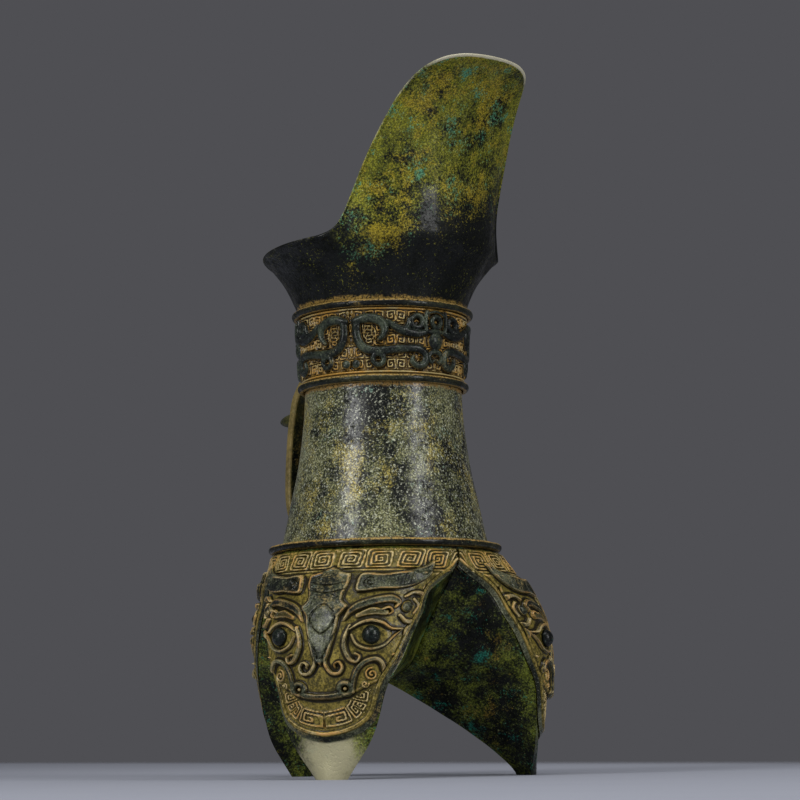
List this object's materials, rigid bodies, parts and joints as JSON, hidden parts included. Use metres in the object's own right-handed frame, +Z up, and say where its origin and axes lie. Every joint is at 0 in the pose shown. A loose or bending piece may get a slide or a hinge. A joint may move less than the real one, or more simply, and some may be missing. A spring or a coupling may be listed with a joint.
{
  "type": "ritual wine vessel",
  "caption": "Bronze tripod pouring vessel with hollow bag legs, a waisted neck, a relief band, a strap handle and a tall upright spout.",
  "frame": {"origin": "on the vessel's vertical axis, at the height of the soles of its three feet", "axes": "+Z up, +X towards the spout, away from the handle and the rear leg"},
  "size_m": [0.1192, 0.108, 0.2295],
  "materials": {
    "green_bronze": "patinated",
    "dark_bronze": "polished dark patina",
    "ochre_bronze": "earth-filled relief"
  },
  "bodies": {
    "root": {"mouth_and_spout": "green_bronze", "dragon_band": "ochre_bronze", "waist_neck": "green_bronze", "band_top_rib": "dark_bronze", "band_bottom_rib": "dark_bronze", "shoulder_rib": "dark_bronze", "handle": "green_bronze", "leg_front_right": "green_bronze", "mask_plate_front_right": "ochre_bronze", "eye_boss_front_right_left": "dark_bronze", "eye_boss_front_right_right": "dark_bronze", "leg_front_left": "green_bronze", "mask_plate_front_left": "ochre_bronze", "eye_boss_front_left_left": "dark_bronze", "eye_boss_front_left_right": "dark_bronze", "leg_rear": "green_bronze", "mask_plate_rear": "ochre_bronze", "eye_boss_rear_left": "dark_bronze", "eye_boss_rear_right": "dark_bronze"}
  },
  "joints": []
}
